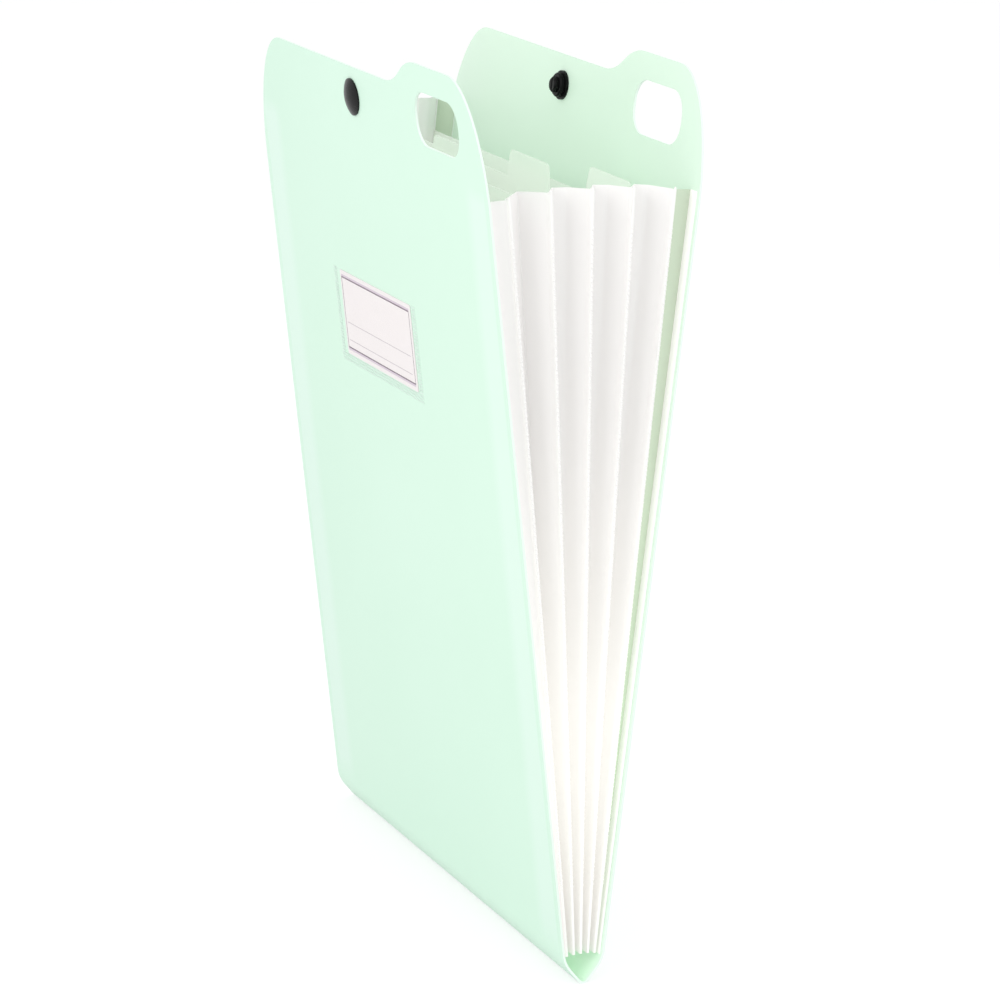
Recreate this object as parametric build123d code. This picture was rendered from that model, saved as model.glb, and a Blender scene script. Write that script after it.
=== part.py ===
"""Portrait document file of polypropylene sheet: two covers on one fold, five dividers and pleated side gussets.

The file is drawn open in a V and standing on its fold. +X runs along the fold, the front cover is on the -Y
side, +Z is up, and the origin is the middle of the fold line.
Each leaf is first drawn upright, as in the closed file, and is then leaned about the fold line.
"""

from math import asin, atan, cos, degrees, radians, sin, sqrt, tan
import os

from build123d import *

# Cover sheet, measured up from the fold line in the closed file
cover_width = 250.0
cover_height = 348.3
cover_thickness = 0.9
half_depth = 7.45  # fold plane to the outer face of a closed cover
spine_height = 14.0  # fold line to the top of the curved spine
foot_half = 4.1  # fold line to the edge of the flat foot that the open file stands on
fold_clearance = 0.05

# Raised grip corner and the other top corner of a cover
grip_rise = 11.5
grip_start = 27.0  # middle of the cover to the foot of the rise
grip_run = 35.0
grip_corner_width = 30.0
grip_corner_height = 50.0
far_corner_width = 32.0
far_corner_height = 54.0

# Hand hole in the grip corner
hand_hole_width = 43.5
hand_hole_height = 21.2
hand_hole_corner = 9.5
hand_hole_from_edge = 45.0  # cover edge to the middle of the hole
hand_hole_drop = 21.2  # top of the grip to the middle of the hole

# Dividers
divider_count = 5
divider_thickness = 0.4
divider_pitch = 2.45  # closed spacing
divider_foot = 11.5  # fold line to the foot of a divider
divider_height = 288.5
tab_rise = 11.0
tab_base = 43.0
tab_top = 38.5
tab_corner = 3.0
tab_margin = 1.0  # edge of the gusset ridges to the first tab
hem_clearance = 0.45  # hem to the next leaf in the closed file

# Pleated gussets
ridge_inset = 3.0  # cover edge to the ridges
pleat_width = 16.1  # ridge to valley along the film
film_thickness = 0.3
film_clearance = 0.06
weld_width = 4.0  # strip of film welded to a divider
flap_inset = 5.6  # cover edge to the outer edge of the flap on a cover
gusset_height = 303.3
valley_clearance = 0.6  # film to the hem of a divider

# Label pocket and its card on the front cover
label_centre = -10.2  # from the middle of the cover
pocket_width = 91.0
pocket_height = 40.5
pocket_drop = 89.7  # top of the cover to the open edge of the pocket
pocket_weld = 4.2
pocket_film = 0.25
pocket_corner = 1.5
card_thickness = 0.3
card_slip = 0.06  # air on each face of the card and below it
card_play = 4.6  # air beside the card, both sides together
card_recess = 0.44  # open edge of the pocket down to the card
card_offset = 1.6  # card to the right of the pocket's middle
card_corner = 0.8

# Press snap
snap_centre = -10.4  # from the middle of the cover
snap_drop = 12.4  # top of the cover to the snap
cap_diameter = 15.0
cap_height = 2.6
cap_rim = 0.7
shank_diameter = 4.0
shank_clearance = 0.1
flange_diameter = 11.8
flange_height = 1.2
drum_diameter = 9.8
drum_bevel = 0.5
stud_drum_height = 2.0
socket_drum_height = 3.0
head_diameter = 6.4
head_height = 1.8
head_bevel = 0.6
head_slot = 0.9
socket_bore = 7.0
socket_depth = 2.3
snap_gap = 0.2  # between the two snap faces in the closed file

# Leans of the leaves in the open file, in degrees
cover_lean_angle = 6.6
divider_lean_angle = 2.65

# Worked out from the sizes above
cut_over = cover_thickness
sheet_inner = half_depth - cover_thickness
grip_top = cover_height + grip_rise
half_width = cover_width / 2
ridge_x = half_width - ridge_inset
flap_x = half_width - flap_inset
middle_leaf = (divider_count + 1) / 2
pocket_count = divider_count + 1
snap_up = cover_height - snap_drop
card_width = pocket_width - 2 * pocket_weld - card_play
card_height = pocket_height - pocket_weld - card_slip - card_recess
foot_slope = tan(radians(cover_lean_angle))
flank_depth = half_depth - foot_half
flank_height = spine_height - foot_half * foot_slope
flank_radius = (flank_depth**2 + flank_height**2) / (2 * flank_depth)


def leaned(shape, lean):
    """Turn an upright leaf about the fold line, towards the front for a positive lean."""
    return shape.rotate(Axis.X, lean)


def open_point(offset, height, lean):
    """Y and Z of a point of the closed file after its leaf has leaned."""
    turn = radians(lean)
    return (offset * cos(turn) - height * sin(turn), offset * sin(turn) + height * cos(turn))


def leaf_lean(leaf):
    """Lean of a leaf: 0 is the front cover, the last one is the back cover."""
    if leaf == 0:
        return cover_lean_angle
    if leaf == pocket_count:
        return -cover_lean_angle
    return (middle_leaf - leaf) * divider_lean_angle


def leaf_offset(leaf):
    """Middle plane of a divider in the closed file."""
    return (leaf - middle_leaf) * divider_pitch


def cover_face(height):
    """Fold plane to the inner face of a closed cover, which curves in below the top of the spine."""
    below = max(spine_height - height, 0)
    return half_depth - flank_radius + sqrt((flank_radius - cover_thickness) ** 2 - below**2)


def front_face(leaf, height):
    return cover_face(height) if leaf == pocket_count else leaf_offset(leaf) - divider_thickness / 2


def back_face(leaf, height):
    return -cover_face(height) if leaf == 0 else leaf_offset(leaf) + divider_thickness / 2


def cover_outline():
    """Outline of a cover with its grip corner, seen from the front."""
    rise_turn = 2 * degrees(atan(grip_rise / grip_run))
    rise_radius = grip_run / (2 * sin(radians(rise_turn)))
    far_corner = (far_corner_width - half_width, cover_height - far_corner_height)
    grip_corner = (half_width - grip_corner_width, grip_top - grip_corner_height)
    with BuildSketch(Plane.XZ) as outline:
        with BuildLine():
            Line((-half_width, -cut_over), (-half_width, far_corner[1]))
            EllipticalCenterArc(far_corner, far_corner_width, far_corner_height, 90, arc_size=90)
            Line((far_corner[0], cover_height), (grip_start, cover_height))
            foot = JernArc((grip_start, cover_height), (1, 0), rise_radius, rise_turn)
            shoulder = JernArc(foot @ 1, foot % 1, rise_radius, -rise_turn)
            Line(shoulder @ 1, (grip_corner[0], grip_top))
            EllipticalCenterArc(grip_corner, grip_corner_width, grip_corner_height, 0, arc_size=90)
            Line((half_width, grip_corner[1]), (half_width, -cut_over))
            Line((half_width, -cut_over), (-half_width, -cut_over))
        make_face()
        with Locations((half_width - hand_hole_from_edge, grip_top - hand_hole_drop)):
            RectangleRounded(hand_hole_width, hand_hole_height, hand_hole_corner, mode=Mode.SUBTRACT)
        with Locations((snap_centre, snap_up)):
            Circle(shank_diameter / 2 + shank_clearance, mode=Mode.SUBTRACT)
    return outline.sketch


def flank_turn(inset):
    """Turn of the spine's flank from upright down to the foot, this far inside the outer face."""
    lean = radians(cover_lean_angle)
    above_foot = (flank_radius - half_depth) * sin(lean) + spine_height * cos(lean) - inset
    return degrees(asin(above_foot / (flank_radius - inset))) - cover_lean_angle


def cover_section():
    """Flat sheet of the front cover, running down into its curved half of the spine and of the foot.

    The foot slopes in the closed file, so that both halves lie flat on the ground in the open one.
    """
    bend = (flank_radius - half_depth, spine_height)
    end_low = fold_clearance * foot_slope
    end_high = end_low + cover_thickness / cos(radians(cover_lean_angle))
    with BuildSketch(Plane.YZ) as section:
        with BuildLine():
            Line((-half_depth, grip_top + cut_over), (-half_depth, spine_height))
            outer = CenterArc(bend, flank_radius, 180, flank_turn(0))
            inner = CenterArc(bend, flank_radius - cover_thickness, 180, flank_turn(cover_thickness))
            Polyline(outer @ 1, (-fold_clearance, end_low), (-fold_clearance, end_high), inner @ 1)
            Line((-sheet_inner, spine_height), (-sheet_inner, grip_top + cut_over))
            Line((-sheet_inner, grip_top + cut_over), (-half_depth, grip_top + cut_over))
        make_face()
    return section.sketch


def upright_cover():
    sheet = extrude(cover_section(), half_width, both=True)
    return sheet & extrude(cover_outline(), half_depth + cut_over, both=True)


def divider_outline(leaf):
    """Sheet edge of a divider with its index tab, one step further right on each leaf."""
    side = ridge_x - film_thickness
    top = divider_foot + divider_height
    tab_middle = tab_base / 2 + tab_margin - ridge_x + (leaf - 1) * 2 * ridge_x / pocket_count
    with BuildSketch(Plane.XZ) as outline:
        with BuildLine():
            Polyline(
                (-side, divider_foot),
                (-side, top),
                (tab_middle - tab_base / 2, top),
                (tab_middle - tab_top / 2, top + tab_rise),
                (tab_middle + tab_top / 2, top + tab_rise),
                (tab_middle + tab_base / 2, top),
                (side, top),
                (side, divider_foot),
                close=True,
            )
        make_face()
        fillet(outline.vertices().group_by(Axis.Y)[-1], tab_corner)
    return outline.sketch


def divider(leaf):
    """Divider sheet with the hem at its foot that closes the floor of the pocket in front of it."""
    sheet = extrude(divider_outline(leaf), divider_thickness / 2, both=True)
    hem_depth = front_face(leaf, divider_foot) - back_face(leaf - 1, divider_foot) - hem_clearance
    hem = Box(
        2 * (valley_x(0) - valley_clearance),
        hem_depth + divider_thickness,
        divider_thickness,
        align=(Align.CENTER, Align.MAX, Align.MIN),
    )
    sheet = Pos(0, leaf_offset(leaf), 0) * sheet
    hem = Pos(0, leaf_offset(leaf) + divider_thickness / 2, divider_foot) * hem
    return leaned(sheet + hem, leaf_lean(leaf))


def valley_x(half_gap):
    """Distance from the middle of the file to the valley of a pleat that is open by this much."""
    return ridge_x - weld_width - sqrt((pleat_width - weld_width) ** 2 - half_gap**2)


def pleat_section(pocket, height):
    """Section through one pleat of the right gusset: film on both walls of a pocket, and its valley."""
    front = open_point(back_face(pocket - 1, height), height, leaf_lean(pocket - 1))
    back = open_point(front_face(pocket, height), height, leaf_lean(pocket))
    across = Vector(0, back[0] - front[0], back[1] - front[1])
    gap = across.length
    near = film_clearance
    weld_x = ridge_x - weld_width
    at_front_cover = pocket == 1
    at_back_cover = pocket == pocket_count
    if at_front_cover or at_back_cover:
        # The last film of each gusset runs to the cover and ends there in an outward flap.
        reach = gap - 2 * near
        fold_x = valley_x(reach)
        groove_x = fold_x + 2 * film_thickness * (weld_x - fold_x) / reach
        points = [
            (ridge_x, near),
            (weld_x, near),
            (fold_x, gap - near),
            (flap_x, gap - near),
            (flap_x, gap - near - film_thickness),
            (groove_x, gap - near - film_thickness),
            (weld_x, near + film_thickness),
            (ridge_x, near + film_thickness),
        ]
        if at_front_cover:
            points = [(x, gap - depth) for x, depth in points]
    else:
        reach = gap / 2 - near
        fold_x = valley_x(reach)
        groove_x = fold_x + film_thickness * (weld_x - fold_x) / reach
        half = [(ridge_x, near), (weld_x, near), (fold_x, gap / 2)]
        other = [(weld_x, gap - near), (ridge_x, gap - near), (ridge_x, gap - near - film_thickness)]
        groove = [(weld_x, gap - near - film_thickness), (groove_x, gap / 2)]
        points = half + other + groove + [(weld_x, near + film_thickness), (ridge_x, near + film_thickness)]
    plane = Plane(
        origin=(0, front[0], front[1]), x_dir=(1, 0, 0), z_dir=Vector(1, 0, 0).cross(across)
    )
    return plane * make_face(Polyline(*points, close=True))


def right_pleat(pocket):
    foot = pleat_section(pocket, divider_foot)
    top = pleat_section(pocket, divider_foot + gusset_height)
    return loft([foot, top], ruled=True)


def label_pocket():
    """Clear film welded to the cover at both sides and below, and open above."""
    height_in = pocket_height - pocket_weld
    room = card_thickness + 2 * card_slip
    film = RectangleRounded(pocket_width, pocket_height, pocket_corner)
    film = extrude(Plane.XZ * film, room + pocket_film)
    cavity = Box(
        pocket_width - 2 * pocket_weld,
        room,
        height_in + cut_over,
        align=(Align.CENTER, Align.MAX, Align.MIN),
    )
    return film - Pos(0, 0, pocket_weld - pocket_height / 2) * cavity


def label_card():
    card = RectangleRounded(card_width, card_height, card_corner)
    return extrude(Plane.XZ * card, card_thickness)


def snap_cap():
    """Domed cap with its shank, which points along +Y."""
    crown = cap_height - cap_rim
    dome_radius = ((cap_diameter / 2) ** 2 + crown**2) / (2 * crown)
    with BuildSketch(Plane.XY) as half_section:
        with BuildLine():
            Line((0, cover_thickness), (0, -cap_height))
            RadiusArc((0, -cap_height), (cap_diameter / 2, -cap_rim), -dome_radius)
            Polyline(
                (cap_diameter / 2, -cap_rim),
                (cap_diameter / 2, 0),
                (shank_diameter / 2, 0),
                (shank_diameter / 2, cover_thickness),
                (0, cover_thickness),
            )
        make_face()
    return revolve(half_section.sketch, Axis.Y)


def snap_body(drum_height):
    """Flange and bevelled drum of a snap part, standing up along +Z."""
    flange = Cylinder(flange_diameter / 2, flange_height, align=(Align.CENTER, Align.CENTER, Align.MIN))
    drum = Cylinder(drum_diameter / 2, drum_height, align=(Align.CENTER, Align.CENTER, Align.MIN))
    drum = chamfer(drum.edges().group_by(Axis.Z)[-1], drum_bevel)
    return flange + Pos(0, 0, flange_height) * drum


def snap_stud():
    """Male part: a split head on its drum."""
    head = Cylinder(head_diameter / 2, head_height, align=(Align.CENTER, Align.CENTER, Align.MIN))
    head = chamfer(head.edges().group_by(Axis.Z)[-1], head_bevel)
    slot = Box(head_slot, head_diameter, head_height, align=(Align.CENTER, Align.CENTER, Align.MIN))
    return snap_body(stud_drum_height) + Pos(0, 0, flange_height + stud_drum_height) * (head - slot)


def snap_socket():
    """Female part: a drum with the bore that takes the head."""
    face = flange_height + socket_drum_height
    bore = Cylinder(socket_bore / 2, socket_depth, align=(Align.CENTER, Align.CENTER, Align.MAX))
    return snap_body(socket_drum_height) - Pos(0, 0, face) * bore


def write(shape, name):
    shape.label = name
    export_step(shape, f"parts/{name}.step")


os.makedirs("parts", exist_ok=True)

front_upright = upright_cover()
write(leaned(front_upright, cover_lean_angle), "front_cover")
write(leaned(mirror(front_upright, about=Plane.XZ), -cover_lean_angle), "back_cover")

for leaf in range(1, divider_count + 1):
    write(divider(leaf), f"divider_{leaf}")

for pocket in range(1, pocket_count + 1):
    pleat = right_pleat(pocket)
    write(pleat, f"right_gusset_{pocket}")
    write(mirror(pleat, about=Plane.YZ), f"left_gusset_{pocket}")

pocket_middle = cover_height - pocket_drop - pocket_height / 2
card_foot = cover_height - pocket_drop - pocket_height + pocket_weld + card_slip
pocket_place = Pos(label_centre, -half_depth, pocket_middle)
card_place = Pos(label_centre + card_offset, -half_depth - card_slip, card_foot + card_height / 2)
write(leaned(pocket_place * label_pocket(), cover_lean_angle), "label_pocket")
write(leaned(card_place * label_card(), cover_lean_angle), "label_card")

front_snap = Pos(snap_centre, -half_depth, snap_up)
write(leaned(front_snap * snap_cap(), cover_lean_angle), "front_snap_cap")
write(leaned(mirror(front_snap * snap_cap(), about=Plane.XZ), -cover_lean_angle), "back_snap_cap")
socket_place = Pos(snap_centre, -sheet_inner, snap_up) * Rot(-90, 0, 0)
stud_place = Pos(snap_centre, sheet_inner, snap_up) * Rot(90, 0, 0)
write(leaned(socket_place * snap_socket(), cover_lean_angle), "snap_socket")
write(leaned(stud_place * snap_stud(), -cover_lean_angle), "snap_stud")

# How far past upright the covers close before the snap faces meet
closed_gap = 2 * flange_height + stud_drum_height + socket_drum_height + snap_gap
past_upright = degrees(asin((2 * sheet_inner - closed_gap) / snap_up))
print("closing turn of the front cover from the open file:", round(2 * cover_lean_angle + past_upright, 3))
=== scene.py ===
"""Portrait document file of mint plastic sheet, standing open on its fold.

The covers above their foot, the dividers and the press snap are the model's own shapes. The foot of the
covers, the pleated film gussets with their welds, the label pocket and its card are made here, in metres, on
the same axes: +X along the fold, front cover towards -Y.
"""

from math import asin, cos, pi, radians, sin, sqrt

import bmesh
import bpy
from mathutils import Matrix, Vector
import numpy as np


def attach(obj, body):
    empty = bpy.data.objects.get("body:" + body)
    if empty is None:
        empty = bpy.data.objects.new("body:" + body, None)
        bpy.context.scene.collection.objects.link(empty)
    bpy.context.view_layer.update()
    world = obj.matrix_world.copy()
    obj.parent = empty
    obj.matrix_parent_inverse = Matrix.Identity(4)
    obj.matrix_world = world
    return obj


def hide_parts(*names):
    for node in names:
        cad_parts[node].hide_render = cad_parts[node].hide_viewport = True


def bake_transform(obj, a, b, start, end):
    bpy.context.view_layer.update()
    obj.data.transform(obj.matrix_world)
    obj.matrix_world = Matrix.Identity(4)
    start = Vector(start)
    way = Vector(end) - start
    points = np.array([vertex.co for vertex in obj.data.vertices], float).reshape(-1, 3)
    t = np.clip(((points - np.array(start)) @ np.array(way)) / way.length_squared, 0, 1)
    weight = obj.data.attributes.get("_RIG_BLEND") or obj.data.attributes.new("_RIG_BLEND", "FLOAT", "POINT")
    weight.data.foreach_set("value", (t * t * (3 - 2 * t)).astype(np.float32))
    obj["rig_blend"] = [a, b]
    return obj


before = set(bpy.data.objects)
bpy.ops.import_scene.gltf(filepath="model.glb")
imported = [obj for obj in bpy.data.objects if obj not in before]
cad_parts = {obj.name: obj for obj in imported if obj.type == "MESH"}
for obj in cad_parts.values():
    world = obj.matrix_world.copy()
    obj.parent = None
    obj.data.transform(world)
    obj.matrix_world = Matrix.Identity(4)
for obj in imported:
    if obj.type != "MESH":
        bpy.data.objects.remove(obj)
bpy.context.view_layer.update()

MM = 0.001
FRONT, BACK = -1, 1

# Covers and dividers, measured up from the fold line in the closed file
COVER_HALF_WIDTH = 125.0 * MM
COVER_HEIGHT = 348.3 * MM
COVER_THICKNESS = 0.9 * MM
HALF_DEPTH = 7.45 * MM
SPINE_HEIGHT = 14.0 * MM
FOOT_HALF = 4.1 * MM
FOOT_BEND = 4.2 * MM
FOLD_ROUND = 1.3 * MM
FOLD_REACH = 0.95 * FOLD_ROUND
FOOT_STEPS = 8
DIVIDER_COUNT = 5
DIVIDER_THICKNESS = 0.4 * MM
DIVIDER_PITCH = 2.45 * MM
COVER_LEAN = radians(6.6)
DIVIDER_LEAN = radians(2.65)
POCKET_COUNT = DIVIDER_COUNT + 1
FLANK_DEPTH = HALF_DEPTH - FOOT_HALF
FLANK_HEIGHT = SPINE_HEIGHT - FOOT_HALF * sin(COVER_LEAN) / cos(COVER_LEAN)
FLANK_RADIUS = (FLANK_DEPTH**2 + FLANK_HEIGHT**2) / (2 * FLANK_DEPTH)

# Pleated gussets
GUSSET_FOOT = 11.5 * MM
GUSSET_TOP = GUSSET_FOOT + 303.3 * MM
DIVIDER_TOP = GUSSET_FOOT + 288.5 * MM
RIDGE_X = 122.0 * MM
WELD_WIDTH = 4.0 * MM
WELD_X = RIDGE_X - WELD_WIDTH
PLEAT_WIDTH = 16.1 * MM
FILM_THICKNESS = 0.3 * MM
FILM_CLEARANCE = 0.06 * MM
FILM_WAVE = 0.12 * MM
RIDGE_BEAD = 0.35 * MM
RIDGE_STEPS = 8
RIDGE_PEAK = 1.1 * MM
RIDGE_TIP_SHARE = 0.35

# End pleats: the weld on the outer divider, the fold on the cover and the outer edge of the flap
END_WELD_X = 120.6 * MM
END_FOLD_X = 117.7 * MM
FLAP_X = 123.3 * MM

# Inner pleats: share of the way across the pocket, and depth, of the valley and of the slack bend behind it.
# The valley's depth is a share of the taut film's, the bend's depth a share of the valley's.
PLEAT_FOLDS = {
    2: ((0.5, 1.0), (0.76, 0.56)),
    3: ((0.3, 0.88), (0.62, 0.84)),
    4: ((0.3, 0.88), (0.64, 0.82)),
    5: ((0.3, 0.86), (0.62, 0.84)),
}

# How far each corner of a film line is eased, by the number of its points, and how the line is divided
FILM_BEND = 0.9 * MM
VALLEY_BEND = 0.5 * MM
SLACK_BEND = 1.4 * MM
BEND_EASES = {4: (0, FILM_BEND, FILM_BEND, 0), 6: (0, FILM_BEND, VALLEY_BEND, SLACK_BEND, FILM_BEND, 0)}
LONGEST_EASE = 0.45
RUN_STEPS = 6
BEND_STEPS = 6
FILM_ROWS = 60

# Bumps in rows: crimps in the ridges, weld spots in the flaps, pressed squares in the label pocket's welds
CRIMPS = {"Pitch": 1.8 * MM, "Size": (0.42 * MM, 0.66 * MM, 0.5 * MM), "Sides": 8, "Rings": 5}
CRIMP_X = RIDGE_X + RIDGE_BEAD * 0.6
CRIMP_ENDS = (40 * MM, 300 * MM)
SPOTS = {"Pitch": 13 * MM, "Size": (0.9 * MM, 0.12 * MM, 1.3 * MM), "Sides": 12, "Rings": 6}
SPOT_X = 120.4 * MM
SPOT_ENDS = (24 * MM, 300 * MM)
SQUARES = {"Pitch": 1.25 * MM, "Size": (0.40 * MM, 0.03 * MM, 0.40 * MM), "Sides": 8, "Rings": 3}
SQUARE_ROWS = (0.22, 0.5, 0.78)
SQUARES_BELOW_TOP = 0.8 * MM

# Label pocket and its card
LABEL_X = -10.2 * MM
POCKET_WIDTH = 91.0 * MM
POCKET_HEIGHT = 40.5 * MM
POCKET_WELD = 4.2 * MM
POCKET_STEP = 0.6 * MM
POCKET_TOP = COVER_HEIGHT - 89.7 * MM
POCKET_FILM = 0.25 * MM
PRESSED_FILM = 0.07 * MM
FILM_REST = 0.03 * MM
CARD_SLIP = 0.06 * MM
CARD_THICKNESS = 0.3 * MM
CARD_WIDTH = 78.0 * MM
CARD_HEIGHT = 35.8 * MM
CARD_CORNER = 0.8 * MM
CARD_CORNER_STEPS = 4
CARD_X = LABEL_X + 1.6 * MM

# Points closer than these are one point, and heights closer than these are one height
FILM_JOIN = 0.0005 * MM
COVER_JOIN = 0.002 * MM
FOOT_JOIN = 0.005 * MM
CUT_MARGIN = 0.02 * MM
SEAM_MARGIN = 0.05 * MM

# Looks of the sheets
COVER_TONES = ((0.69, 0.915, 0.77, 1), (0.675, 0.905, 0.755, 1))
# Painted light: the covers' inner faces get their own tint for the shade and green bounced light inside the
# file
INNER_BOUNCE_TONES = ((0.735, 0.89, 0.77, 1), (0.72, 0.88, 0.75, 1))
# Painted highlight: the covers' cut edges are coloured lighter than the sheet
COVER_EDGE_HIGHLIGHT = (0.84, 0.97, 0.89, 1)
FILM_BEHIND = (0.78, 0.94, 0.86, 1)
BAND_X = (109 * MM, 120.6 * MM)
BAND_FADE_X = (8 * MM, 1 * MM)
BAND_AMOUNT = 0.5
# Painted light: glows on the covers and gusset films stand in for light coming through the translucent
# sheets, stronger near the foot
NO_GLOW = (0, 0, 0, 1)
SOFT_GLOW = (0.045, 0.06, 0.048, 1)
FOOT_GLOW = (0.12, 0.20, 0.13, 1)
OUTER_FOOT_GLOW = (0.018, 0.02, 0.02, 1)
COVER_GLOW_START = 26 * MM
FILM_GLOW_START = 260 * MM
FILM_GLOW_EASE = 110 * MM
FOOT_EASE_SHARE = 0.28
COVER_EDGE_START = 16 * MM
OVER_THE_TOP = 1.0
GRAIN_HEIGHT = 0.05 * MM

# Room, lamps with their place and power, and camera
FLOOR_REACH = 30.0
FLOOR_GLOW = 0.6
ROOM_LIGHT = 0.86
LAMP_SIZE = 0.9
LAMP_TARGET = (0, 0, 0.17)
LAMPS = {
    "key": ((0.45, -1.0, 0.75), 4.5),
    "fill": ((0.9, 0.7, 0.6), 2.2),
    "rim": ((-0.7, 0.9, 0.6), 1.6),
}
CAMERA_PLACE = (1.516237, -0.625527, 0.589093)
CAMERA_RIGHT = (0.38667892, 0.92215501, 0.01046631)
CAMERA_DOWN = (0.23436083, -0.08728323, -0.96822345)
SENSOR_WIDTH = 36.0
FOCAL_LENGTH = 149.0


# Nodes

def add_node(tree, kind, inputs=(), **settings):
    """Place a node, set its own fields, and feed each named input with a value or another node's output."""
    placed = tree.nodes.new(kind)
    for name, value in settings.items():
        setattr(placed, name, value)
    for name, value in dict(inputs).items():
        if isinstance(value, bpy.types.NodeSocket):
            tree.links.new(value, placed.inputs[name])
        else:
            placed.inputs[name].default_value = value
    return placed


def calc(tree, operation, *values):
    """Result of one step of arithmetic."""
    return add_node(tree, "ShaderNodeMath", dict(enumerate(values)), operation=operation).outputs[0]


def mixed(tree, share, first, second):
    """One colour mixed into another."""
    return add_node(tree, "ShaderNodeMix", {0: share, 6: first, 7: second}, data_type="RGBA").outputs[2]


def ramp(tree, value, start, stop, low=0.0, high=1.0, **settings):
    """Low at the start, high at the stop, and even or smooth between them."""
    limits = {0: value, 1: start, 2: stop, 3: low, 4: high}
    return add_node(tree, "ShaderNodeMapRange", limits, **settings).outputs[0]


def split(tree, source="Object"):
    """X, Y and Z of the place on the object, of its normal or of its UV map."""
    place = add_node(tree, "ShaderNodeTexCoord")
    return add_node(tree, "ShaderNodeSeparateXYZ", {0: place.outputs[source]}).outputs


def noise(tree, source="Object", **inputs):
    """Soft noise over the object or its UV map."""
    place = add_node(tree, "ShaderNodeTexCoord")
    return add_node(tree, "ShaderNodeTexNoise", {"Vector": place.outputs[source], **inputs}).outputs["Fac"]


def bump(tree, height, strength, distance):
    """Normal of a surface that rises with a value."""
    inputs = {"Height": height, "Strength": strength, "Distance": distance}
    return add_node(tree, "ShaderNodeBump", inputs).outputs["Normal"]


def shared(tree, name, **inputs):
    """Output of one of the shared node groups."""
    return add_node(tree, "ShaderNodeGroup", inputs, node_tree=GROUPS[name]).outputs[0]


# Shared node groups, each as the function that builds its inside from its inputs

def fine_grain(tree, given):
    """Matte grain of rolled plastic sheet, as a normal."""
    grain = noise(tree, Scale=given["Grain"], Detail=2.0, Roughness=0.6)
    return bump(tree, grain, given["Depth"], GRAIN_HEIGHT)


def uneven_tone(tree, given):
    """Two tones of one colour, drifting over the sheet."""
    drift = noise(tree, Scale=given["Scale"], Detail=3.0)
    return mixed(tree, ramp(tree, drift, 0.35, 0.65), given["Light"], given["Deep"])


def cut_edge(tree, given):
    """Mask of a standing sheet's cut edges: its upright ends, and above a height its other edges too."""
    facing = split(tree, "Normal")
    edge = ramp(tree, calc(tree, "ABSOLUTE", facing["Y"]), 0.85, 0.5)
    above = calc(tree, "GREATER_THAN", split(tree)["Z"], given["Above"])
    end = ramp(tree, calc(tree, "ABSOLUTE", facing["X"]), 0.7, 0.9)
    return calc(tree, "MAXIMUM", calc(tree, "MULTIPLY", edge, above), end)


def inner_side(tree, given):
    """Mask of the face that looks into the file: 1 where the normal runs along Y in the given sense."""
    return ramp(tree, calc(tree, "MULTIPLY", split(tree, "Normal")["Y"], given["Facing"]), -0.2, 0.4)


def side_bands(tree, given):
    """Mask of the upright bands near both side edges, where the welded film shows through the sheet."""
    point = split(tree)
    aside = calc(tree, "ABSOLUTE", point["X"])
    start = calc(tree, "SUBTRACT", given["Inner"], BAND_FADE_X[0])
    stop = calc(tree, "ADD", given["Outer"], BAND_FADE_X[1])
    mask = given["Amount"]
    for limit in (
        ramp(tree, aside, start, given["Inner"]),
        ramp(tree, aside, stop, given["Outer"]),
        ramp(tree, point["Z"], GUSSET_FOOT, 2 * GUSSET_FOOT),
        ramp(tree, point["Z"], GUSSET_TOP + 2 * MM, GUSSET_TOP - 4 * MM),
    ):
        mask = calc(tree, "MULTIPLY", mask, limit)
    return mask


def foot_depth(tree, given):
    """Mask that grows from the height Start down towards the fold, and is held back below Ease."""
    height = split(tree)["Z"]
    depth = ramp(tree, height, given["Start"], 0.0, interpolation_type="SMOOTHSTEP")
    return calc(tree, "MULTIPLY", depth, ramp(tree, height, 0.0, given["Ease"], FOOT_EASE_SHARE, 1.0))


FLOAT, COLOUR, VECTOR = "NodeSocketFloat", "NodeSocketColor", "NodeSocketVector"
WHITE = (1, 1, 1, 1)


def node_group(build, kind, label, inputs):
    """A shader node group with one output."""
    group = bpy.data.node_groups.new(build.__name__, "ShaderNodeTree")
    for name, value in inputs.items():
        socket = COLOUR if value is WHITE else FLOAT
        group.interface.new_socket(name, in_out="INPUT", socket_type=socket).default_value = value
    group.interface.new_socket(label, in_out="OUTPUT", socket_type=kind)
    given, result = group.nodes.new("NodeGroupInput"), group.nodes.new("NodeGroupOutput")
    group.links.new(build(group, given.outputs), result.inputs[label])
    return group


GROUPS = {
    build.__name__: node_group(build, kind, label, inputs)
    for build, kind, label, inputs in (
        (fine_grain, VECTOR, "Normal", {"Grain": 2600.0, "Depth": 0.2}),
        (uneven_tone, COLOUR, "Color", {"Light": WHITE, "Deep": WHITE, "Scale": 9.0}),
        (cut_edge, FLOAT, "Mask", {"Above": 0.0}),
        (inner_side, FLOAT, "Mask", {"Facing": 1.0}),
        (side_bands, FLOAT, "Mask", {"Inner": 0.1, "Outer": 0.12, "Amount": BAND_AMOUNT}),
        (foot_depth, FLOAT, "Mask", {"Start": 0.02, "Ease": 0.001 * MM}),
    )
}


# Finishes

def finish(name, **surface):
    """A material with one Principled surface, and its tree."""
    material = bpy.data.materials.new(name)
    material.use_nodes = True
    tree = material.node_tree
    shader = tree.nodes["Principled BSDF"]
    for label, value in surface.items():
        shader.inputs[label.replace("_", " ")].default_value = value
    return material, tree, shader


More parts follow.
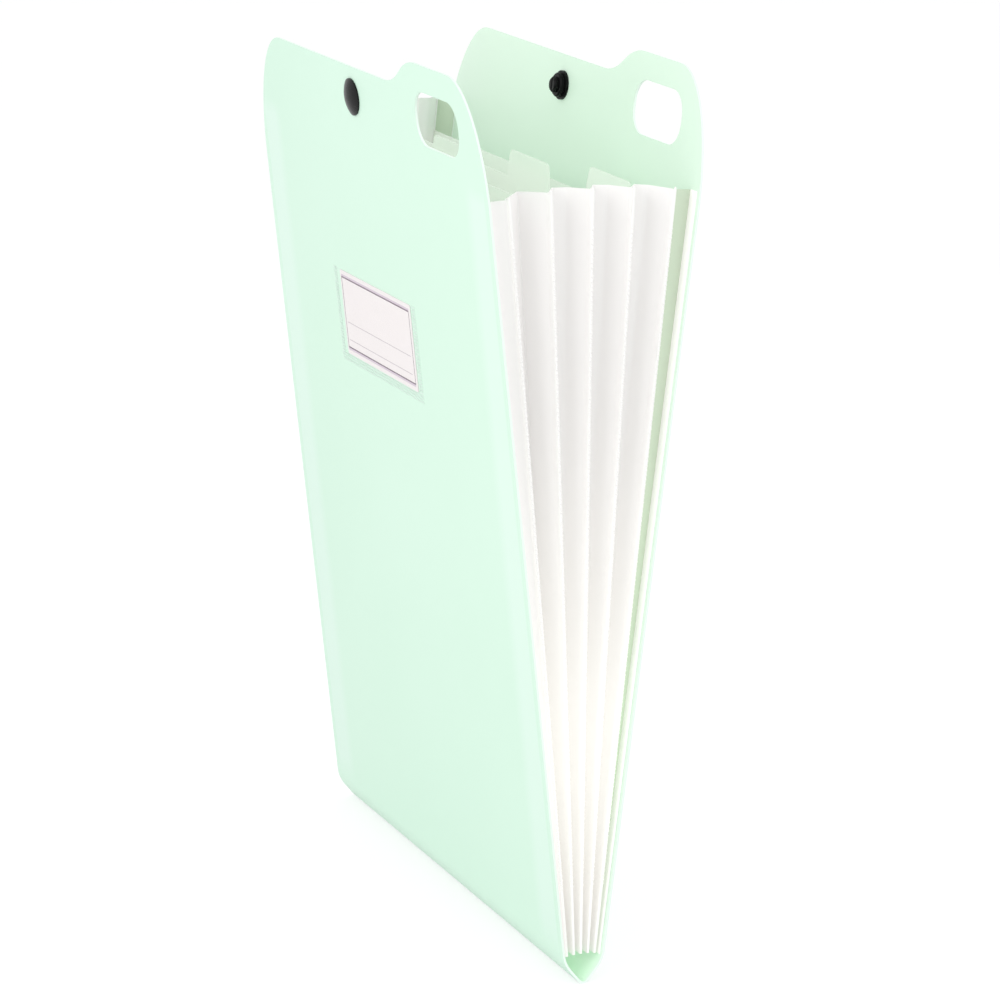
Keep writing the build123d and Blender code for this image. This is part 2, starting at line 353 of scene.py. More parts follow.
def sheet_finish(
    name, tones, edge, grain, depth, above=OVER_THE_TOP, facing=None, foot_light=None, **surface
):
    """Rolled plastic sheet: drifting tone, matte grain and, where an edge colour is given, cut edges in that
    colour, which on the covers is a painted highlight.

    A cover also has a `facing`: the way along Y that its inner face looks. That face has painted tones of
    its own, standing in for the shade and the green light bounced inside the file; the outer one shows the
    welded film as bands; both glow a little, more near the foot: painted light for the light coming through
    the sheet.
    `foot_light` does the same for a film: its painted glow high up and at the foot.
    """
    material, tree, shader = finish(name, Roughness=0.42, Specular_IOR_Level=0.35, **surface)
    colour = shared(tree, "uneven_tone", Light=tones[0], Deep=tones[1])
    glow = None
    if facing:
        bands = shared(tree, "side_bands", Inner=BAND_X[0], Outer=BAND_X[1])
        # Inner face painted with the tint of shade and bounced green light
        inner = shared(tree, "uneven_tone", Light=INNER_BOUNCE_TONES[0], Deep=INNER_BOUNCE_TONES[1])
        side = shared(tree, "inner_side", Facing=facing)
        colour = mixed(tree, side, mixed(tree, bands, colour, FILM_BEHIND), inner)
        # Painted glow on both cover faces, more near the foot, for light coming through the sheet
        foot = shared(tree, "foot_depth", Start=COVER_GLOW_START)
        outer_glow = mixed(tree, foot, NO_GLOW, OUTER_FOOT_GLOW)
        glow = mixed(tree, side, outer_glow, mixed(tree, foot, SOFT_GLOW, FOOT_GLOW))
    # Painted glow on a film, stronger towards the foot, that lifts the shade deep in the pleats
    if foot_light:
        foot = shared(tree, "foot_depth", Start=FILM_GLOW_START, Ease=FILM_GLOW_EASE)
        glow = mixed(tree, foot, *foot_light)
    if glow is not None:
        tree.links.new(glow, shader.inputs["Emission Color"])
        shader.inputs["Emission Strength"].default_value = 1.0
    if edge:
        colour = mixed(tree, shared(tree, "cut_edge", Above=above), colour, edge)
    tree.links.new(colour, shader.inputs["Base Color"])
    tree.links.new(shared(tree, "fine_grain", Grain=grain, Depth=depth), shader.inputs["Normal"])
    return material


def film_finish(name, tones, edge, foot_light):
    """Film of the gussets: white, or a copy of it painted with a backlight glow or with shade in a green
    tint.
    """
    return sheet_finish(name, tones, edge, grain=1800.0, depth=0.15, foot_light=foot_light)


def clear_film(name, colour, alpha, grain, depth):
    """Clear soft film of the label pocket, with an uneven haze."""
    material, tree, shader = finish(name, Base_Color=colour, Roughness=0.2, Specular_IOR_Level=0.4)
    haze = ramp(tree, noise(tree, Scale=60.0, Detail=2.0), 0.3, 0.7, alpha * 0.8, alpha * 1.2)
    tree.links.new(haze, shader.inputs["Alpha"])
    tree.links.new(shared(tree, "fine_grain", Grain=grain, Depth=depth), shader.inputs["Normal"])
    return material


def moulded_black(name, shine, dull):
    """Moulded black plastic with a faint cloud in its polish."""
    material, tree, shader = finish(name, Base_Color=(0.005, 0.005, 0.0055, 1), Specular_IOR_Level=shine)
    cloud = noise(tree, Scale=420.0)
    tree.links.new(ramp(tree, cloud, 0.0, 1.0, dull, dull + 0.14), shader.inputs["Roughness"])
    tree.links.new(bump(tree, cloud, 0.06, 0.1 * MM), shader.inputs["Normal"])
    return material


def boxes_mask(tree, point, boxes):
    """Mask of several boxes, each given as left, right, low and high."""
    mask = 0.0
    for left, right, low, high in boxes:
        inside = 1.0
        for value, least, most in ((point["X"], left, right), (point["Y"], low, high)):
            inside = calc(tree, "MULTIPLY", inside, calc(tree, "GREATER_THAN", value, least))
            inside = calc(tree, "MULTIPLY", inside, calc(tree, "LESS_THAN", value, most))
        mask = calc(tree, "MAXIMUM", mask, inside)
    return mask


def card_print():
    """Pale card with a printed border and two writing lines. Its UV map runs in millimetres."""
    material, tree, shader = finish("card_print", Roughness=0.55, Specular_IOR_Level=0.35)
    left, right, low, high = 1.1, 76.2, 2.7, 33.2
    upright, level, tint = 0.45, 0.6, 0.9
    line_left, line_right, line_height = left + 2.2, right - 2.8, 0.3
    inks = (
        ((0.68, 0.59, 0.67, 1), [(left, right, low - tint, low), (left, right, high, high + tint)]),
        (
            (0.20, 0.15, 0.19, 1),
            [
                (left, left + upright, low, high),
                (right - upright, right, low, high),
                (left, right, low, low + level),
                (left, right, high - level, high),
            ],
        ),
        ((0.52, 0.47, 0.50, 1), [(line_left, line_right, up, up + line_height) for up in (6.3, 13.8)]),
    )
    fibre = noise(tree, "UV", Scale=1.8, Detail=4.0)
    colour = mixed(tree, fibre, (0.87, 0.82, 0.82, 1), (0.90, 0.85, 0.85, 1))
    point = split(tree, "UV")
    for ink, boxes in inks:
        colour = mixed(tree, boxes_mask(tree, point, boxes), colour, ink)
    tree.links.new(colour, shader.inputs["Base Color"])
    tree.links.new(bump(tree, fibre, 0.1, 0.02 * MM), shader.inputs["Normal"])
    return material


COVER_SHEETS = {
    body: sheet_finish(
        f"{body}_sheet",
        COVER_TONES,
        COVER_EDGE_HIGHLIGHT,
        grain=2600.0,
        depth=0.18,
        above=COVER_EDGE_START,
        facing=facing,
    )
    for body, facing in (("front", 1.0), ("back", -1.0))
}
DIVIDER_SHEET = sheet_finish(
    "divider_sheet",
    ((0.88, 0.93, 0.87, 1), (0.86, 0.92, 0.85, 1)),
    (0.86, 0.93, 0.86, 1),
    grain=3400.0,
    depth=0.12,
    above=0.0,
    Alpha=0.55,
    # Painted glow for light coming through the translucent divider
    Emission_Color=(0.92, 0.95, 0.90, 1),
    Emission_Strength=0.13,
)
# White film, with a painted glow that grows towards the foot
WHITE_FILM = film_finish(
    "white_film",
    ((0.91, 0.90, 0.89, 1), (0.895, 0.885, 0.875, 1)),
    (0.91, 0.905, 0.895, 1),
    ((0.045, 0.044, 0.042, 1), (0.24, 0.24, 0.22, 1)),
)
# Painted light: a copy of the white film with a strong glow, for the end flaps lit through the cover from
# behind
BACKLIT_FILM = film_finish(
    "backlit_film",
    ((0.92, 0.93, 0.90, 1), (0.905, 0.915, 0.885, 1)),
    (0.92, 0.93, 0.91, 1),
    ((0.20, 0.16, 0.19, 1), (0.21, 0.19, 0.21, 1)),
)
# Painted shade: a copy of the white film tinted dark green, for the shade and green bounced light in the end
# pocket
SHADED_FILM = film_finish(
    "shaded_film",
    ((0.635, 0.725, 0.585, 1), (0.61, 0.70, 0.56, 1)),
    None,
    ((0.03, 0.045, 0.03, 1), (0.14, 0.22, 0.13, 1)),
)
CLEAR_FILM = clear_film("clear_film", (0.98, 0.98, 0.98, 1), alpha=0.02, grain=260.0, depth=0.2)
WELDED_FILM = clear_film("welded_film", (0.96, 1.0, 0.98, 1), alpha=0.02, grain=900.0, depth=0.3)
PRESSED_WELD = sheet_finish(
    "pressed_weld",
    ((0.86, 0.97, 0.91, 1), (0.84, 0.96, 0.90, 1)),
    (0.86, 0.96, 0.91, 1),
    grain=2600.0,
    depth=0.1,
)
BLACK_GLOSS = moulded_black("black_gloss", shine=0.22, dull=0.2)
BLACK_SATIN = moulded_black("black_satin", shine=0.09, dull=0.32)
CARD_PRINT = card_print()


# Leaves: 0 is the front cover, then the dividers, and the last one is the back cover

def open_point(offset, height, lean):
    """Y and Z of a point of the closed file after its leaf has leaned."""
    return (offset * cos(lean) - height * sin(lean), offset * sin(lean) + height * cos(lean))


def leaf_body(leaf):
    """Name of the body that a leaf belongs to."""
    if leaf == 0:
        return "front"
    if leaf == POCKET_COUNT:
        return "back"
    return f"divider_{leaf}"


def leaf_lean(leaf):
    """How far a leaf leans towards the front."""
    if leaf == 0:
        return COVER_LEAN
    if leaf == POCKET_COUNT:
        return -COVER_LEAN
    return (POCKET_COUNT / 2 - leaf) * DIVIDER_LEAN


def divider_offset(leaf):
    """Fold plane to the middle of a closed divider."""
    return (leaf - POCKET_COUNT / 2) * DIVIDER_PITCH


def cover_face(height):
    """Fold plane to the inner face of a closed cover."""
    below = max(SPINE_HEIGHT - height, 0)
    return HALF_DEPTH - FLANK_RADIUS + sqrt((FLANK_RADIUS - COVER_THICKNESS) ** 2 - below**2)


def front_face(leaf, height):
    """Fold plane to the face of a closed leaf that looks to the front."""
    return cover_face(height) if leaf == POCKET_COUNT else divider_offset(leaf) - DIVIDER_THICKNESS / 2


def back_face(leaf, height):
    """Fold plane to the face of a closed leaf that looks to the back."""
    return -cover_face(height) if leaf == 0 else divider_offset(leaf) + DIVIDER_THICKNESS / 2


def on_divider(leaf, x, out, up):
    """A point of a divider: along it, back from its middle, and up from the fold."""
    return Vector((x, *open_point(divider_offset(leaf) + out, up, leaf_lean(leaf))))


def on_cover(side, x, out, up):
    """A point of a cover: along it, out from its outer face, and up from the fold."""
    y, z = open_point(HALF_DEPTH + out, up, -COVER_LEAN)
    return Vector((x, side * y, z))


# Meshes

def new_object(name, points, faces, material):
    mesh = bpy.data.meshes.new(name)
    mesh.from_pydata([tuple(point) for point in points], [], faces)
    mesh.materials.append(material)
    mesh.validate()
    return linked(name, mesh)


def linked(name, mesh):
    built = bpy.data.objects.new(name, mesh)
    bpy.context.collection.objects.link(built)
    return built


def outward(built):
    """Turn all faces of a closed piece outwards."""
    shell = bmesh.new()
    shell.from_mesh(built.data)
    bmesh.ops.remove_doubles(shell, verts=shell.verts, dist=FILM_JOIN)
    bmesh.ops.recalc_face_normals(shell, faces=shell.faces)
    shell.to_mesh(built.data)
    shell.free()
    return built


def shaded_by_angle(built, angle=35):
    """Smooth shading, broken at corners."""
    for face in built.data.polygons:
        face.use_smooth = True
    built.data.set_sharp_from_angle(angle=radians(angle))
    return built


def ring_sides(rings, ring):
    """Faces between rings of points that follow each other."""
    faces = []
    for low in range(0, (rings - 1) * ring, ring):
        for place in range(ring):
            after = (place + 1) % ring
            faces.append((low + place, low + after, low + ring + after, low + ring + place))
    return faces


def closed_rows(name, rows, material):
    """Closed piece lofted through flat rings of points, with its ends filled in across the ring."""
    ring = len(rows[0])
    faces = ring_sides(len(rows), ring)
    for start, turned in ((0, True), ((len(rows) - 1) * ring, False)):
        for place in range(ring // 2 - 1):
            quad = (start + place, start + place + 1, start + ring - 2 - place, start + ring - 1 - place)
            faces.append(quad[::-1] if turned else quad)
    return shaded_by_angle(outward(new_object(name, sum(rows, []), faces, material)))


def closed_fans(name, rows, material):
    """Closed piece lofted through rings of points, with one face on each end."""
    ring = len(rows[0])
    points = sum(rows, [])
    faces = [tuple(range(ring))[::-1], tuple(range(len(points) - ring, len(points)))]
    faces += ring_sides(len(rows), ring)
    return shaded_by_angle(outward(new_object(name, points, faces, material)))


def eased(start, corner, stop, steps):
    """Points of a smooth bend round a corner."""
    path = []
    for step in range(steps + 1):
        share = step / steps
        path.append(start * (1 - share) ** 2 + corner * 2 * share * (1 - share) + stop * share**2)
    return path


# Film of the gussets

def film_section(pocket, height):
    """Middle line of one pleat's film at a height, as points (across the file, depth in the pocket).

    Also the frame that puts it in place: the pocket's front wall and the direction across the pocket.
    """
    front = Vector((0, *open_point(back_face(pocket - 1, height), height, leaf_lean(pocket - 1))))
    back = Vector((0, *open_point(front_face(pocket, height), height, leaf_lean(pocket))))
    across = back - front
    gap = across.length
    near = FILM_CLEARANCE + FILM_THICKNESS / 2
    far = gap - near
    if pocket in (1, POCKET_COUNT):
        points = [(RIDGE_X, near), (END_WELD_X, near), (END_FOLD_X, far), (FLAP_X, far)]
        if pocket == 1:
            points = [(x, gap - depth) for x, depth in points]
    else:
        taut = sqrt((PLEAT_WIDTH - WELD_WIDTH) ** 2 - (gap / 2 - FILM_CLEARANCE) ** 2)
        (valley, valley_depth), (slack, slack_depth) = PLEAT_FOLDS[pocket]
        points = [
            (RIDGE_X, near),
            (WELD_X, near),
            (WELD_X - taut * valley_depth, near + (gap - 2 * near) * valley),
            (WELD_X - taut * valley_depth * slack_depth, near + (gap - 2 * near) * slack),
            (WELD_X, far),
            (RIDGE_X, far),
        ]
    return points, front, across.normalized()


def rounded(points, eases):
    """A path through straight runs whose corners are eased over a short way on both sides."""
    path = [points[0]]
    for corner in range(1, len(points) - 1):
        before, at, after = points[corner - 1 : corner + 2]
        longest = min((at - before).length, (after - at).length) * LONGEST_EASE
        ease = min(eases[corner], longest)
        start = at + (before - at).normalized() * ease
        stop = at + (after - at).normalized() * ease
        path += eased(start, at, stop, BEND_STEPS)
    return path + [points[-1]]


def divided_alike(points):
    """The rounded film line with the same number of points at the foot and at the top."""
    path = rounded([Vector(point) for point in points], BEND_EASES[len(points)])
    full = [path[0]]
    for place, (here, there) in enumerate(zip(path, path[1:])):
        count = 1 if place % (BEND_STEPS + 1) else RUN_STEPS
        full += [here.lerp(there, (step + 1) / count) for step in range(count)]
    return full


def crease_place(corner):
    """Place of a corner's middle in a divided film line."""
    return corner * (RUN_STEPS + BEND_STEPS) - BEND_STEPS // 2


def film_faces(section, corners, side):
    """Points of both faces of the film at one height, from one corner of its middle line to another."""
    points, front, across = section
    path = divided_alike(points)
    first, last = corners
    faces = [], []
    for place in range(crease_place(first) if first else 0, crease_place(last) + 1 if last else len(path)):
        along = path[min(place + 1, len(path) - 1)] - path[max(place - 1, 0)]
        normal = Vector((-along.y, along.x)).normalized()
        for face, half in zip(faces, (0.5, -0.5)):
            flat = path[place] + normal * FILM_THICKNESS * half
            face.append(front + across * flat.y + Vector((side * flat.x, 0, 0)))
    return faces


def film_wave(along, up, name):
    """How far the film stands off its plain shape: a soft, slow bulge that dies away at its long edges."""
    phase = sum(map(ord, name)) % 7
    return FILM_WAVE * sin(pi * along) ** 2 * up * (sin(5.1 * up + phase) + 0.6 * sin(11.3 * up + 2 * phase))


def film_strip(name, sections, corners, side, material=WHITE_FILM):
    """Closed strip of film from the foot to the top of a gusset, between two corners of its middle line.

    A corner of None stands for the end of the line.
    """
    foot, top = (film_faces(section, corners, side) for section in sections)
    rows = []
    for row in range(FILM_ROWS + 1):
        up = row / FILM_ROWS
        outer, inner = ([low.lerp(high, up) for low, high in zip(*ends)] for ends in zip(foot, top))
        for place, (out, within) in enumerate(zip(outer, inner)):
            lift = (out - within).normalized() * film_wave(place / (len(outer) - 1), up, name)
            outer[place] = out + lift
            inner[place] = within + lift
        rows.append(outer + inner[::-1])
    return closed_rows(name, rows, material)


def bend_line(sections, corner, side):
    """Middle of the crease at a corner of the film, and the way out from it, square to the crease."""
    ends = []
    for points, front, across in sections:
        x, depth = points[corner]
        ends.append(front + across * depth + Vector((side * x, 0, 0)))
    run = ends[1] - ends[0]
    outwards = Vector((run.z, 0, -run.x)).normalized() * side
    return (ends[0] + ends[1]) / 2, outwards


def turn_place(share):
    """Place between the start and the end of a blend at which a point has made this share of the turn."""
    return 0.5 - sin(asin(1 - 2 * share) / 3)


def hang(strip, leaves, near, far):
    """Hang a strip between two leaves.

    For its edges, near and far give a point and its share of the turn from the first to the second leaf.
    """
    run = (far[0] - near[0]) / (turn_place(far[1]) - turn_place(near[1]))
    start = near[0] - run * turn_place(near[1])
    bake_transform(strip, *leaves, start=tuple(start), end=tuple(start + run))


def end_pleat(name, pocket, sections, side, leaves):
    """Slope from the outer divider to the cover, and the flap that lies on the cover."""
    leaf, cover = leaves[::-1] if pocket == 1 else leaves
    fold, outwards = bend_line(sections, 2, side)
    weld = fold + outwards * (END_WELD_X - END_FOLD_X)
    # The last pocket's slope is painted in shade; the flap gets the painted backlight glow
    film = WHITE_FILM if pocket == 1 else SHADED_FILM
    slope = film_strip(f"{name}_slope", sections, (None, 2), side, film)
    flap = film_strip(f"{name}_flap", sections, (2, None), side, BACKLIT_FILM)
    hang(slope, (leaf, cover), (weld, 0), (fold, 1))
    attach(flap, cover)
    return slope, flap


def inner_pleat(name, pocket, sections, side, leaves):
    """Three strips between two leaves, which meet in the valley and in the slack bend."""
    (fold_share, _), (slack_share, _) = PLEAT_FOLDS[pocket]
    fold, outwards = bend_line(sections, 2, side)
    slack, slack_outwards = bend_line(sections, 3, side)
    weld = fold + outwards * (WELD_X - abs(fold.x))
    slack_weld = slack + slack_outwards * (WELD_X - abs(slack.x))
    beside = fold + slack_outwards * (slack - fold).dot(slack_outwards)
    fore = film_strip(f"{name}_fore", sections, (None, 2), side)
    middle = film_strip(f"{name}_middle", sections, (2, 3), side)
    rear = film_strip(f"{name}_rear", sections, (3, None), side)
    hang(fore, leaves, (weld, 0), (fold, fold_share))
    hang(middle, leaves, (fold, fold_share), (beside, slack_share))
    hang(rear, leaves, (slack, slack_share), (slack_weld, 1))
    return fore, middle, rear


def make_gussets():
    for pocket in range(1, POCKET_COUNT + 1):
        sections = [film_section(pocket, height) for height in (GUSSET_FOOT, GUSSET_TOP)]
        leaves = leaf_body(pocket - 1), leaf_body(pocket)
        make_pleat = end_pleat if pocket in (1, POCKET_COUNT) else inner_pleat
        for label, side in (("right", 1), ("left", -1)):
            name = f"{label}_gusset_{pocket}"
            for piece in make_pleat(name, pocket, sections, side, leaves):
                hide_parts(name)


make_gussets()


# Bumps in rows

def bump_rows_tree():
    """Small bumps set at an even pitch along the edges of a mesh."""
    tree = bpy.data.node_groups.new("bump_rows", "GeometryNodeTree")
    sockets = {
        "Geometry": "Geometry",
        "Pitch": "Float",
        "Sides": "Int",
        "Rings": "Int",
        "Size": "Vector",
        "Turn": "Vector",
        "Material": "Material",
    }
    for label, kind in sockets.items():
        tree.interface.new_socket(label, in_out="INPUT", socket_type=f"NodeSocket{kind}")
    tree.interface.new_socket("Geometry", in_out="OUTPUT", socket_type="NodeSocketGeometry")
    given, result = tree.nodes.new("NodeGroupInput").outputs, tree.nodes.new("NodeGroupOutput")
    rows = add_node(tree, "GeometryNodeMeshToCurve", {"Mesh": given["Geometry"]})
    even = add_node(
        tree,
        "GeometryNodeResampleCurve",
        {"Curve": rows.outputs["Curve"], "Length": given["Pitch"]},
        mode="LENGTH",
    )
    ball = add_node(
        tree,
        "GeometryNodeMeshUVSphere",
        {"Segments": given["Sides"], "Rings": given["Rings"], "Radius": 1.0},
    )
    placed = add_node(
        tree,
        "GeometryNodeInstanceOnPoints",
        {
            "Points": even.outputs["Curve"],
            "Instance": ball.outputs["Mesh"],
            "Rotation": given["Turn"],
            "Scale": given["Size"],
        },
    )
    real = add_node(tree, "GeometryNodeRealizeInstances", {"Geometry": placed.outputs["Instances"]})
    dressed = add_node(
        tree,
        "GeometryNodeSetMaterial",
        {"Geometry": real.outputs["Geometry"], "Material": given["Material"]},
    )
    tree.links.new(dressed.outputs["Geometry"], result.inputs["Geometry"])
    return tree


BUMP_ROWS = bump_rows_tree()


def bump_rows(name, rows, material, bumps, turn):
    """One mesh of bumps along several rows, each row given by its two ends."""
    base = bpy.data.meshes.new(name)
    points = [tuple(point) for row in rows for point in row]
    base.from_pydata(points, [(place, place + 1) for place in range(0, len(points), 2)], [])
    carrier = linked(name + "_rows", base)
    maker = carrier.modifiers.new("rows", "NODES")
    maker.node_group = BUMP_ROWS
    for label, value in {**bumps, "Turn": turn, "Material": material}.items():
        maker[BUMP_ROWS.interface.items_tree[label].identifier] = value
    carrier.update_tag()
    depsgraph = bpy.context.evaluated_depsgraph_get()
    mesh = bpy.data.meshes.new_from_object(carrier.evaluated_get(depsgraph))
    mesh.name = name
    bpy.data.objects.remove(carrier)
    for face in mesh.polygons:
        face.use_smooth = True
    return linked(name, mesh)


def make_ridges():
    """The ridges along both side edges of each divider with their crimps, and the seams at their tops."""
    web = DIVIDER_THICKNESS / 2 + FILM_CLEARANCE
    half = web + FILM_THICKNESS
    bead = [(RIDGE_X - RIDGE_BEAD, -half), (RIDGE_X, -half)]
    for step in range(1, RIDGE_STEPS):
        angle = pi * step / RIDGE_STEPS - pi / 2
        bead.append((RIDGE_X + RIDGE_BEAD * cos(angle), half * sin(angle)))
    bead += [(RIDGE_X, half), (RIDGE_X - RIDGE_BEAD, half)]
    seam = [(WELD_X, -web), (RIDGE_X, -web), (RIDGE_X, web), (WELD_X, web)]
    ridge_ends = ((GUSSET_FOOT, 1), (GUSSET_TOP, 1), (GUSSET_TOP + RIDGE_PEAK, RIDGE_TIP_SHARE))
    seam_ends = ((DIVIDER_TOP, 1), (GUSSET_TOP, 1))
    for leaf in range(1, DIVIDER_COUNT + 1):
        for label, side in (("right", 1), ("left", -1)):
            for kind, outline, ends in (("ridge", bead, ridge_ends), ("seam", seam, seam_ends)):
                rows = []
                for up, share in ends:
                    rows.append([on_divider(leaf, side * x, out * share, up) for x, out in outline])
                piece = closed_fans(f"{label}_{kind}_{leaf}", rows, WHITE_FILM)
                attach(piece, leaf_body(leaf))
        rows = [[on_divider(leaf, side * CRIMP_X, 0, up) for up in CRIMP_ENDS] for side in (1, -1)]
        crimps = bump_rows(f"crimps_{leaf}", rows, WHITE_FILM, CRIMPS, turn=(leaf_lean(leaf), 0, 0))
        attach(crimps, leaf_body(leaf))


make_ridges()


# Covers with their folded foot

def foot_path():
    """Outer line of the back cover's foot, from the start of the bend down to the fold."""
    start = on_cover(BACK, 0, 0, SPINE_HEIGHT)
    bend = on_cover(BACK, 0, 0, SPINE_HEIGHT - FOOT_BEND)
    heel = Vector((0, FOLD_ROUND, 0))
    down = (heel - bend).normalized()
    path = eased(start, bend, bend + down * (start - bend).length, FOOT_STEPS)
    path += eased(heel - down * FOLD_REACH, heel, heel - Vector((0, FOLD_REACH, 0)), FOOT_STEPS)
    return path + [Vector((0, 0, 0))]


def foot_rings(side):
    """Rings of points round a cover's sheet, from the start of its bend down to the fold."""
    outer = foot_path()
    rings = []
    for place, point in enumerate(outer):
        if place == 0:
            within = on_cover(BACK, 0, -COVER_THICKNESS, SPINE_HEIGHT)
        elif place == len(outer) - 1:
            within = point + Vector((0, 0, COVER_THICKNESS))
        else:
            along = (outer[place + 1] - outer[place - 1]).normalized()
            within = point + Vector((0, along.z, -along.y)) * COVER_THICKNESS
        outside, inside = (side * point.y, point.z), (side * max(within.y, 0), within.z)
        corners = ((-1, outside), (1, outside), (1, inside), (-1, inside))
        rings.append([(end * COVER_HALF_WIDTH, *corner) for end, corner in corners])
    return rings


def make_cover(node_name, body, side):
    """The model's cover down to the start of its bend, carried on to the fold by a rounded foot."""
    sheet = bmesh.new()
    sheet.from_mesh(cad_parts[node_name].data)
    bmesh.ops.remove_doubles(sheet, verts=sheet.verts, dist=COVER_JOIN)

    def height(point):
        return side * point.y * sin(COVER_LEAN) + point.z * cos(COVER_LEAN)

    low = [vert for vert in sheet.verts if height(vert.co) < SPINE_HEIGHT - CUT_MARGIN]
    bmesh.ops.delete(sheet, geom=low, context="VERTS")
    rows = [[sheet.verts.new(point) for point in ring] for ring in foot_rings(side)]
    for here, there in zip(rows, rows[1:]):
        for place in range(4):
            after = (place + 1) % 4
            sheet.faces.new((here[place], here[after], there[after], there[place]))
    sheet.faces.new(rows[-1])
    bmesh.ops.remove_doubles(sheet, verts=sheet.verts, dist=FOOT_JOIN)
    bmesh.ops.recalc_face_normals(sheet, faces=sheet.faces)
    mesh = bpy.data.meshes.new(f"{body}_sheet")
    sheet.to_mesh(mesh)
    sheet.free()
    for carried in [layer.name for layer in mesh.attributes if "normal" in layer.name]:
        mesh.attributes.remove(mesh.attributes[carried])
    mesh.materials.append(COVER_SHEETS[body])
    for face in mesh.polygons:
        face.material_index = 0
    cover = shaded_by_angle(linked(f"{body}_sheet", mesh))
    for edge in mesh.edges:
        if all(abs(height(mesh.vertices[place].co) - SPINE_HEIGHT) < SEAM_MARGIN for place in edge.vertices):
            edge.use_edge_sharp = True
    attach(cover, body)
    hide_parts(node_name)


make_cover("front_cover", "front", FRONT)
make_cover("back_cover", "back", BACK)


def make_flap_welds():
    """Weld spots that hold the end flaps of both gussets on the covers."""
    inner = -COVER_THICKNESS - FILM_CLEARANCE - FILM_THICKNESS
    for body, side in (("front", FRONT), ("back", BACK)):
        rows = [[on_cover(side, end * SPOT_X, inner, up) for up in SPOT_ENDS] for end in (1, -1)]
        spots = bump_rows(f"{body}_flap_welds", rows, BACKLIT_FILM, SPOTS, turn=(-side * COVER_LEAN, 0, 0))
        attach(spots, body)


make_flap_welds()


# Pieces that keep the model's own shape

def dress(name, material):
    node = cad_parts[name]
    node.data.materials.clear()
    node.data.materials.append(material)


for leaf in range(1, DIVIDER_COUNT + 1):
    dress(f"divider_{leaf}", DIVIDER_SHEET)
for half in ("front_snap_cap", "back_snap_cap"):
    dress(half, BLACK_GLOSS)
for half in ("snap_socket", "snap_stud"):
    dress(half, BLACK_SATIN)


# Label

def make_card():
    """The card, with a UV map in millimetres from its lower left corner."""
    low = POCKET_TOP - POCKET_HEIGHT + POCKET_WELD + CARD_SLIP
    left = CARD_X - CARD_WIDTH / 2
    rim = []
    for middle_x, middle_up, turn in (
        (CARD_WIDTH - CARD_CORNER, CARD_CORNER, -pi / 2),
        (CARD_WIDTH - CARD_CORNER, CARD_HEIGHT - CARD_CORNER, 0),
        (CARD_CORNER, CARD_HEIGHT - CARD_CORNER, pi / 2),
        (CARD_CORNER, CARD_CORNER, pi),
    ):
        for step in range(CARD_CORNER_STEPS + 1):
            angle = turn + step * pi / (2 * CARD_CORNER_STEPS)
            rim.append((middle_x + CARD_CORNER * cos(angle), middle_up + CARD_CORNER * sin(angle)))
    points = []
    for out in (CARD_SLIP, CARD_SLIP + CARD_THICKNESS):
        points += [on_cover(FRONT, left + x, out, low + up) for x, up in rim]
    count = len(rim)
    faces = [tuple(range(count)), tuple(range(2 * count - 1, count - 1, -1))] + ring_sides(2, count)
    card = outward(new_object("card", points, faces, CARD_PRINT))
    layer = card.data.uv_layers.new(name="print")
    foot = on_cover(FRONT, left, 0, low)
    rise = on_cover(FRONT, left, 0, low + 1) - foot
    for loop in card.data.loops:
        from_corner = card.data.vertices[loop.vertex_index].co - foot
        layer.data[loop.index].uv = (from_corner.x / MM, from_corner.dot(rise) / MM)
    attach(card, "card")
    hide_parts("label_card")


make_card()


def pocket_film(left, right, low):
    """The film itself: pressed flat in its welds, and raised by a step over the card."""
    inner_left, inner_right, inner_low = left + POCKET_WELD, right - POCKET_WELD, low + POCKET_WELD
    across = [left, inner_left - POCKET_STEP, inner_left, inner_right, inner_right + POCKET_STEP, right]
    upward = [low, inner_low - POCKET_STEP, inner_low, POCKET_TOP]
    over_card = CARD_SLIP * 2 + CARD_THICKNESS
    outside, inside = [], []
    for row, up in enumerate(upward):
        for column, x in enumerate(across):
            raised = row >= 2 and column in (2, 3)
            rest, film = (over_card, POCKET_FILM) if raised else (FILM_REST, PRESSED_FILM)
            outside.append(on_cover(FRONT, x, rest + film, up))
            inside.append(on_cover(FRONT, x, rest, up))
    count, wide, tall = len(outside), len(across), len(upward)
    faces = []
    for row in range(tall - 1):
        for start in range(row * wide, row * wide + wide - 1):
            quad = (start, start + 1, start + 1 + wide, start + wide)
            faces += [quad, tuple(count + place for place in quad[::-1])]
    rim = list(range(wide)) + [row * wide + wide - 1 for row in range(1, tall)]
    rim += [count - 1 - place for place in range(1, wide)] + [row * wide for row in range(tall - 2, 0, -1)]
    faces += [(here, there, count + there, count + here) for here, there in zip(rim, rim[1:] + rim[:1])]
    film = new_object("pocket_film", outside + inside, faces, CLEAR_FILM)
    film.data.materials.append(WELDED_FILM)
    outward(film)
    for face in film.data.polygons:
        middle = face.center
        up = (middle - on_cover(FRONT, middle.x, 0, 0)).length
        if abs(middle.x - LABEL_X) > POCKET_WIDTH / 2 - POCKET_WELD or up < inner_low:
            face.material_index = 1
    return film


def pocket_squares(left, right, low):
    """Small squares pressed into the welds on three sides, in rows."""
    pitch = SQUARES["Pitch"]
    rows = []
    for share in SQUARE_ROWS:
        inset = POCKET_WELD * share
        for x in (left + inset, right - inset):
            rows.append(((x, low + inset), (x, POCKET_TOP - SQUARES_BELOW_TOP)))
        rows.append(((left + inset + pitch, low + inset), (right - inset - pitch, low + inset)))
    rows = [[on_cover(FRONT, x, FILM_REST + PRESSED_FILM, up) for x, up in row] for row in rows]
    return bump_rows("pocket_welds", rows, PRESSED_WELD, SQUARES, turn=(COVER_LEAN, 0, 0))


